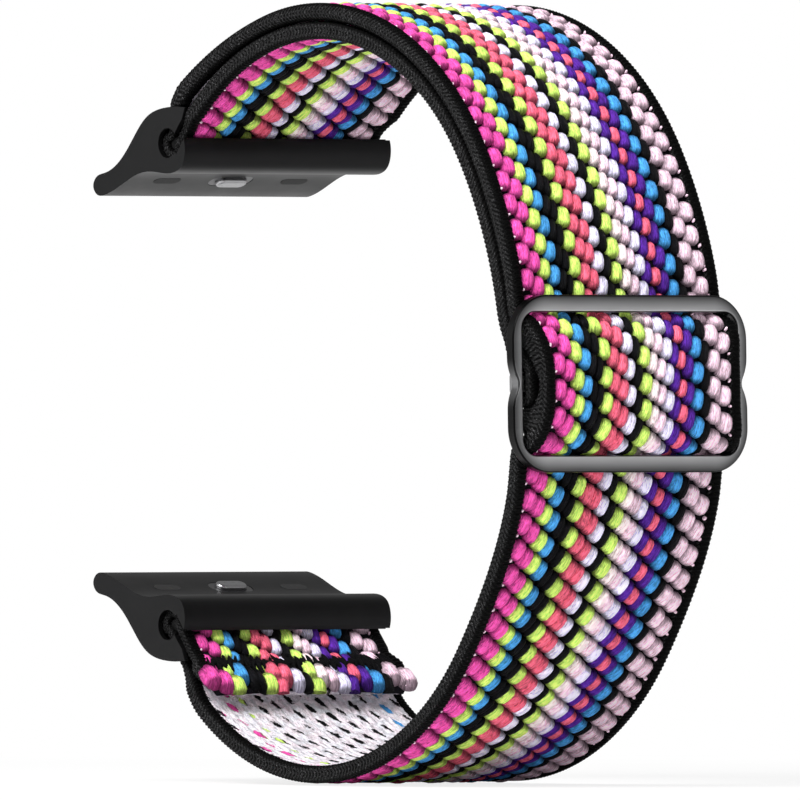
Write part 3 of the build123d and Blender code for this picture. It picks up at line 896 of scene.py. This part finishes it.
def add_selvedges(cloth, ribbon, look, low, high):
    """A rounded black edge on each side: slanting ribs that meet in a point along its outermost line.

    Its section is a rounded block, |cos|**0.75 by |sin|**0.75. Its underside hangs lower on each side of
    the slider's centre bar and where the outer layer bows, and closes the gap to the layer behind.
    """
    row_step, points, section_power, rib_depth, rib_level, least_taper = 0.1, 14, 0.75, 0.14, 0.6, 0.03
    sag, sag_place, sag_reach, bow_sag = 4.1, 3.8, 2.3, 0.45
    half, wide = look.selvedge_height / 2, look.selvedge / 2
    low = max(low, look.tip_round)
    rows = np.linspace(low, high, max(3, int((high - low) / row_step)))[:, None]
    taper = np.sqrt(np.clip(rows / look.tip_round / 2 - 0.5, least_taper, 1))
    below = 1 + sag * np.exp(-((np.abs(rows - ribbon.crown) - sag_place) / sag_reach) ** 4)
    below = below + bow_sag * np.interp(rows, ribbon.u, ribbon.bow)
    turn = np.linspace(0, 2 * math.pi, points, endpoint=False)
    for side in (-1, 1):
        out = bulge(np.cos(turn) * side, section_power) * wide
        up = bulge(np.sin(turn), section_power) * half
        if side < 0:
            out, up = out[::-1], up[::-1]
        girth = np.where(side * out > 0, np.abs(up), 2 * half - np.abs(up))
        rib = crests((rows + RIB_SLANT * girth) / look.rib_pitch)
        grow = taper * (1 + rib_depth * (rib - rib_level))
        centre = side * (look.width / 2 - wide)
        lift = up * grow * np.where(up < 0, below, 1)
        add_tube(cloth, ribbon, rows, centre + out * grow, lift, centre, girth, half, 0.01, EDGE)


def add_edge_dots(cloth, ribbon, look, low, high):
    """Small pale stitches between the braid and each selvedge."""
    half_width, lean, depth, stray = 0.12, 0.5, 0.2, 0.12
    half = look.thickness / 2
    base, low_crest, high_crest = half * 0.6, half - 0.1, half + 0.06
    centre = look.width / 2 - look.selvedge + 0.02
    places = np.arange(0, ribbon.length, look.lobe_pitch)
    draw = np.random.default_rng(5)
    for side in (-1, 1):
        u = places + look.lobe_pitch * (0.25 if side > 0 else 0.5) + draw.normal(0, stray, len(places))
        u = u[(u >= low) & (u < high)]
        half_length = draw.uniform(0.12, 0.24, len(u))
        crest = draw.uniform(low_crest, high_crest, len(u))
        add_lobes(cloth, ribbon, u, side * centre, half_width, half_length, lean, base, crest,
                  tuple(look.stitch_pink) + (0.3,), depth=depth)


def add_stitches(cloth, ribbon, look, place, draw):
    """A row of slanting stitches across the webbing, in turn on either side of a length along it."""
    first, last, pitch, zigzag, depth = -11.6, 11.7, 0.36, 0.32, 0.3
    half = look.thickness / 2
    base, middle_crest = half * 0.8, half + 0.16
    y = np.arange(first, last, pitch)
    count = len(y)
    lean = draw.normal(0, 0.18, count)
    u = place + np.where(np.arange(count) % 2 == 0, zigzag, -zigzag) + draw.normal(0, 0.15, count)
    half_width, half_length = draw.uniform(0.13, 0.22, count), draw.uniform(0.6, 1.25, count)
    crest = middle_crest + draw.normal(0, 0.03, count)
    add_lobes(cloth, ribbon, u, y, half_width, half_length, lean, base, crest, (0.01, 0.01, 0.011, 0.5),
              depth=depth)


# Properties

def length(name, description, default):
    return bpy.props.FloatProperty(name=name, description=description, default=default, unit="LENGTH")


def angle(name, description, degrees):
    return bpy.props.FloatProperty(name=name, description=description, default=math.radians(degrees),
                                   subtype="ANGLE")


def share(name, description, default):
    return bpy.props.FloatProperty(name=name, description=description, default=default, subtype="FACTOR")


def number(name, description, default):
    return bpy.props.FloatProperty(name=name, description=description, default=default)


def colour(name, description, default):
    return bpy.props.FloatVectorProperty(name=name, description=description, default=default,
                                         subtype="COLOR")


class StrapWebbing(bpy.types.PropertyGroup):
    """Sizes and colours of the webbing."""

    width: length("Width", "Width of the webbing", 0.026)
    thickness: length("Thickness", "Thickness of one free layer", 0.0015)
    pressed: length("Pressed thickness", "Thickness where it is pressed", 0.00115)
    pressed_gap: length("Pressed gap", "Gap between pressed layers", 0.0003)
    layer_gap: length("Layer gap", "Gap between two free layers", 0.00035)
    loop_radius: length("Loop radius", "Radius of the loop's front", 0.045)
    bend_angle: angle("Bend angle", "Where the tighter arcs begin", 33)
    slider_angle: angle("Slider angle", "Place of the slider on the loop", 1.4)
    dip_half_angle: angle("Dip angle", "Where the webbing leaves its arc", 13.5)
    blend_angle: angle("Give angle", "How far round the webbing gives", 80)
    tail_length: length("Tail", "Length of the sewn end", 0.0052)
    tail_spread: share("Tail spread", "Share by which sewn lobes spread", 0.12)
    tip_round: length("Tip rounding", "Length over which an end rounds off", 0.0012)
    fold_reach: length("Fold reach", "Pressed length beside a rod", 0.0047)
    turn_radius: length("Turn radius", "Middle line's radius round a rod", 0.001235)
    fold_narrowing: share("Fold narrowing", "Share of the width lost inside an adapter", 0.04)
    crown_narrowing: share("Crown narrowing", "Share of the width lost over the slider", 0.055)
    wrap_radius: length("Wrap radius", "Middle line's radius at the centre bar", 0.001135)
    wrap_reach: length("Wrap reach", "From the bar to where the wrapped end begins", 0.00685)
    wrap_tail_reach: length("Wrap tail", "From the bar to where the wrapped end stops", 0.00405)
    hold: length("Hold", "Reach of the webbing that turns with the slider", 0.0094)
    give: length("Give", "Length beyond it that gives", 0.004)
    bar_place: length("Bar place", "From the centre bar to an end bar", 0.007)
    bar_width: length("Centre bar width", "Width of the centre bar", 0.0022)
    bar_thickness: length("Centre bar thickness", "Thickness of the centre bar", 0.001)
    crown_clearance: length("Crown clearance", "Gap above the wrapped end", 0.00015)
    dome_inset: length("Dome inset", "From an end bar to the dome's foot", 0.0008)
    dome_fullness: number("Dome fullness", "Of its upper half; 2 is an ellipse, more is squarer", 2.5)
    dome_fullness_below: number("Dome fullness below", "The same for its lower half", 3.2)
    bow_length: length("Bow length", "Length over which the outer layer stands off", 0.0149)
    bow_height: length("Bow height", "How far it stands off", 0.0014)
    sweep: length("Sweep", "How far the lower half leans to the watch", 0.0011)
    selvedge: length("Selvedge", "Width of each black edge", 0.0015)
    selvedge_height: length("Selvedge height", "Thickness of each black edge", 0.0017)
    rib_pitch: length("Rib pitch", "From rib to rib of the selvedge", 0.0005)
    lobe_pitch: length("Lobe pitch", "From lobe to lobe of one yarn", 0.002575)
    row_slope: number("Row slope", "How far a row falls for each length across the strap", 0.62)
    lobe_overlap: number("Lobe overlap", "Width of a lobe as a share of its column", 1.4)
    lobe_length: length("Lobe length", "Length of a lobe", 0.00225)
    lobe_rise: length("Lobe rise", "How far lobes stand out", 0.00026)
    bottom_seam: length("Seam place", "From the tail's end to its seam", 0.0039)
    slider_seam: length("Slider seam", "From the wrap's start to its seam", 0.0036)
    hot_pink: colour("Hot pink", "Yarn", (0.80, 0.085, 0.39))
    neon_green: colour("Neon green", "Yarn", (0.62, 0.88, 0.17))
    sky_blue: colour("Sky blue", "Yarn", (0.065, 0.31, 0.68))
    black: colour("Black", "Yarn", (0.004, 0.004, 0.005))
    coral: colour("Coral", "Yarn", (0.80, 0.13, 0.21))
    lavender: colour("Lavender", "Yarn", (0.78, 0.74, 0.94))
    cream_pink: colour("Cream pink", "Yarn", (0.90, 0.74, 0.77))
    light_pink: colour("Light pink", "Yarn", (0.86, 0.62, 0.74))
    purple: colour("Purple", "Yarn", (0.08, 0.02, 0.27))
    stitch_pink: colour("Stitch pink", "Edge stitches", (0.85, 0.62, 0.74))
    knit_cool: colour("Knit, cool", "Knitted back", (0.80, 0.80, 0.86))
    knit_warm: colour("Knit, warm", "Knitted back", (0.88, 0.78, 0.84))


class StrapMetal(bpy.types.PropertyGroup):
    """The slider's outline and the colours of the metal parts."""

    slider_width: length("Slider width", "Width of the slider", 0.0293)
    slider_length: length("Slider length", "Its length along the strap", 0.0174)
    slider_corner: length("Slider corner", "Radius of its corners", 0.00437)
    slider_bar: length("Slider bar", "Width of its end bars", 0.0017)
    slider_colour: colour("Slider", "Plating of the slider", (0.27, 0.27, 0.275))
    adapter_colour: colour("Adapters", "Anodising of the adapters", (0.012, 0.012, 0.0125))
    steel_colour: colour("Steel", "Rods, latches, keepers and leaf springs", (0.45, 0.45, 0.46))


class StrapStage(bpy.types.PropertyGroup):
    """The floor, the lamps and the view."""

    floor_colour: colour("Floor", "Colour of the floor", (0.85, 0.85, 0.85))
    key_light: number("Key light", "Power of the main lamp, in watts", 11.5)
    fill_light: number("Fill light", "Power of the second lamp, in watts", 1.6)
    surroundings: share("Surroundings", "Light from all round", 0.3)
    azimuth: angle("Azimuth", "Direction of the view", 52)
    distance: length("Distance", "From the camera to the strap", 2.5)
    view_height: length("View height", "Height that the image covers", 0.0792)
    view_target: bpy.props.FloatVectorProperty(name="View target", description="Middle of the image",
                                               subtype="TRANSLATION", default=(0.03622, -0.00242, -0.001585))


def in_millimetres(group):
    """The webbing's properties, with its lengths in millimetres."""
    values = {name: getattr(group, name) for name in StrapWebbing.__annotations__}
    for name in values:
        if group.bl_rna.properties[name].unit == "LENGTH":
            values[name] /= MM
    return SimpleNamespace(**values)


# Operators

def carry(piece, bodies, nodes, start=None, end=None):
    """Let a piece ride on its body, or stay put in the world where it lies between two, and hide the CAD
    nodes it stands for.
    """
    if len(bodies) == 1:
        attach(piece, bodies[0])
    else:
        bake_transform(piece)
    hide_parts(*nodes)


def webbing_lengths(ribbon, look):
    """The pieces of the webbing: name, both ends along the line, bodies, and the CAD nodes they replace."""
    marks = ribbon.marks
    low_hold, high_hold = ribbon.crown - look.hold, ribbon.crown + look.hold
    cuts = [0, marks["main run"], marks["lower span"], low_hold - look.give, low_hold, high_hold,
            high_hold + look.give, marks["outer run"], marks["return run"], marks["return span"],
            marks["wrap"] - look.give, marks["wrap"], ribbon.length - SAMPLE]
    rest, moved, turned = "strap", "slider_carriage", "slider"
    span, back_span = ["webbing_slider_span"], ["webbing_return_span"]
    pieces = [
        ("webbing_tail", [rest], ["webbing_bottom_tail", "webbing_bottom_fold"]),
        ("webbing_main", [rest], ["webbing_main_run"]),
        ("webbing_lower_front", [rest, moved], span),
        ("webbing_lower_give", [moved, turned], span),
        ("webbing_over_slider", [turned], span),
        ("webbing_upper_give", [turned, moved], span),
        ("webbing_upper_front", [moved, rest], span),
        ("webbing_top", [rest], ["webbing_outer_run", "webbing_top_fold"]),
        ("webbing_inner", [rest], ["webbing_return_run"]),
        ("webbing_inner_front", [rest, moved], back_span),
        ("webbing_inner_give", [moved, turned], back_span),
        ("webbing_wrap", [turned], ["webbing_end_wrap"]),
    ]
    return [(name, low, high, bodies, nodes)
            for (name, bodies, nodes), low, high in zip(pieces, cuts, cuts[1:])]


class STRAP_OT_webbing(bpy.types.Operator):
    """Make the braided webbing, in lengths that ride on the strap or the slider or stay put between them"""
    bl_idname = "strap.webbing"
    bl_label = "Webbing"

    def execute(self, context):
        look = in_millimetres(context.scene.strap_webbing)
        ribbon = Ribbon(look)
        lobes = braid_lobes(ribbon, look)
        materials = [yarn_finish(), core_shade_finish(), knit_finish(look), selvedge_finish(look)]
        for name, low, high, bodies, nodes in webbing_lengths(ribbon, look):
            cloth = Cloth()
            add_braid(cloth, ribbon, lobes, low, high)
            add_core(cloth, ribbon, look, low, high)
            add_selvedges(cloth, ribbon, look, low, high)
            add_edge_dots(cloth, ribbon, look, low, high)
            piece = cloth.build(name, materials)
            carry(piece, bodies, nodes, ribbon.spot(low), ribbon.spot(high))
        return {"FINISHED"}


class STRAP_OT_seams(bpy.types.Operator):
    """Sew the tail and the wrapped end"""
    bl_idname = "strap.seams"
    bl_label = "Seams"

    def execute(self, context):
        look = in_millimetres(context.scene.strap_webbing)
        ribbon = Ribbon(look)
        thread = thread_finish()
        draw = np.random.default_rng(11)
        seams = [("seam_bottom", look.bottom_seam, "strap", "bottom_seam"),
                 ("seam_slider", ribbon.marks["wrap"] + look.slider_seam, "slider", "slider_seam")]
        for name, place, body, node in seams:
            cloth = Cloth()
            add_stitches(cloth, ribbon, look, place, draw)
            carry(cloth.build(name, [thread]), [body], [node])
        return {"FINISHED"}


def dress(node, slot, material):
    """Give a CAD node its finish."""
    piece = frame["nodes"][node]
    piece.data.materials.clear()
    piece.data.materials.append(material)


def leaf(end, material):
    """A copy of a leaf spring that rides on its adapter in place of the CAD spring."""
    press = joint(end + "_latch_press")
    mesh = frame["nodes"][end + "_latch_spring"].data.copy()
    merged = bmesh.new()
    merged.from_mesh(mesh)
    bmesh.ops.remove_doubles(merged, verts=merged.verts, dist=MM / 1000)
    merged.to_mesh(mesh)
    merged.free()
    mesh.materials.clear()
    mesh.materials.append(material)
    piece = shown(end + "_leaf", mesh)
    carry(piece, [end + "_adapter"], [end + "_latch_spring"])
    points = np.array([corner.co for corner in mesh.vertices])
    depth = points @ np.array(press["axis"])
    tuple(press["axis"])
    points[depth.argmax()].tolist()
    1 - press["range_m"][1] / float(np.ptp(depth))
    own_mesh(piece)


class STRAP_OT_metal(bpy.types.Operator):
    """Finish the slider, the adapters and their small parts"""
    bl_idname = "strap.metal"
    bl_label = "Metal and rubber"

    def execute(self, context):
        look = context.scene.strap_metal
        steel = look.steel_colour
        dress("slider_buckle", "slider_metal", slider_finish(look))
        anodised = adapter_finish(look)
        bright = steel_finish("latch steel", steel, 0.2)
        dull = steel_finish("dull steel", steel * 0.4, 0.3)
        dark = steel_finish("rod steel", steel * 0.04, 0.5)
        parts = [
            ("_adapter_body", "adapter_metal", anodised), ("_latch", "steel", bright),
            ("_latch_keeper", "steel", dull), ("_rod", "steel", dark),
            ("_adapter_pads", "rubber", rubber_finish()),
        ]
        for end in ("top", "bottom"):
            leaf(end, bright)
            for part, slot, material in parts:
                dress(end + part, slot, material)
        return {"FINISHED"}


def add_floor(look):
    """A round floor just below the strap."""
    radius, sides, centre_x, gap = 3, 96, 0.03, 0.1 * MM
    low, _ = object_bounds()
    turn = np.linspace(0, 2 * math.pi, sides, endpoint=False)
    rim = [radius * np.cos(turn) + centre_x, radius * np.sin(turn), np.full(sides, low[2] - gap)]
    mesh = bpy.data.meshes.new("floor")
    mesh.from_pydata(np.stack(rim, 1).tolist(), [], [list(range(sides))])
    mesh.materials.append(floor_finish(look))
    floor = shown("floor", mesh)
    floor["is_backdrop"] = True


# Each lamp's property, share of its power, size, and place behind, beside and above the view's target
LAMPS = {
    "key": ("key_light", 1.0, 0.5, (0.5, -0.35, 0.6)),
    "fill": ("fill_light", 1.0, 0.6, (0.6, 0.6, 0.1)),
    "inside": ("fill_light", 0.5, 0.4, (0.0, -0.7, 0.2)),
}


def add_lamp(name, power, size, place, target):
    """A square soft lamp that faces a point."""
    data = bpy.data.lights.new(name, "AREA")
    data.energy = power
    data.size = size
    light = shown(name, data)
    light.location = place
    light.rotation_euler = (target - light.location).to_track_quat("-Z", "Y").to_euler()


def add_surroundings(level):
    """A world that the camera sees as plain white and that lights the strap more dimly."""
    world = bpy.data.worlds.new("surroundings")
    world.use_nodes = True
    bpy.context.scene.world = world
    nodes, links = world.node_tree.nodes, world.node_tree.links
    sky = nodes["Background"]
    sky.inputs["Color"].default_value = (1, 1, 1, 1)
    rays = nodes.new("ShaderNodeLightPath")
    strength = nodes.new("ShaderNodeMapRange")
    strength.inputs["To Min"].default_value = level
    strength.inputs["To Max"].default_value = 1.0
    links.new(rays.outputs["Is Camera Ray"], strength.inputs["Value"])
    links.new(strength.outputs[0], sky.inputs["Strength"])


def add_camera(look, target, back):
    """A level camera, far off, whose image covers the view's height."""
    sensor = 36
    data = bpy.data.cameras.new("camera")
    data.sensor_width = sensor
    data.lens = sensor * look.distance / look.view_height
    camera = shown("camera", data)
    camera.location = target + back * look.distance
    camera.rotation_euler = (-back).to_track_quat("-Z", "Y").to_euler()
    bpy.context.scene.camera = camera


class STRAP_OT_stage(bpy.types.Operator):
    """Set the floor, the lamps and the camera"""
    bl_idname = "strap.stage"
    bl_label = "Stage"

    def execute(self, context):
        look = context.scene.strap_stage
        target = Vector(look.view_target)
        back = Vector((math.sin(look.azimuth), -math.cos(look.azimuth), 0))
        side = Vector((math.cos(look.azimuth), math.sin(look.azimuth), 0))
        up = Vector((0, 0, 1))
        add_floor(look)
        for name, (power, share_of_it, size, (behind, beside, above)) in LAMPS.items():
            place = target + back * behind + side * beside + up * above
            add_lamp(name, getattr(look, power) * share_of_it, size, place, target)
        add_surroundings(look.surroundings)
        add_camera(look, target, back)
        context.scene.view_settings.view_transform = "Standard"
        return {"FINISHED"}


class STRAP_PT_panel(bpy.types.Panel):
    """The strap's pieces"""
    bl_label = "Strap"
    bl_idname = "STRAP_PT_panel"
    bl_space_type = "VIEW_3D"
    bl_region_type = "UI"
    bl_category = "Strap"

    def draw(self, context):
        for operator in OPERATORS:
            self.layout.operator(operator.bl_idname)


GROUPS = {"strap_webbing": StrapWebbing, "strap_metal": StrapMetal, "strap_stage": StrapStage}
OPERATORS = (STRAP_OT_webbing, STRAP_OT_seams, STRAP_OT_metal, STRAP_OT_stage)


def register():
    for name, group in GROUPS.items():
        bpy.utils.register_class(group)
        setattr(bpy.types.Scene, name, bpy.props.PointerProperty(type=group))
    for kind in OPERATORS + (STRAP_PT_panel,):
        bpy.utils.register_class(kind)


def unregister():
    for kind in reversed(OPERATORS + (STRAP_PT_panel,)):
        bpy.utils.unregister_class(kind)
    for name, group in reversed(GROUPS.items()):
        delattr(bpy.types.Scene, name)
        bpy.utils.unregister_class(group)


def main():
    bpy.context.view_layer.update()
    register()
    bpy.ops.strap.webbing()
    bpy.ops.strap.seams()
    bpy.ops.strap.metal()
    bpy.ops.strap.stage()


if __name__ == "__main__":
    main()
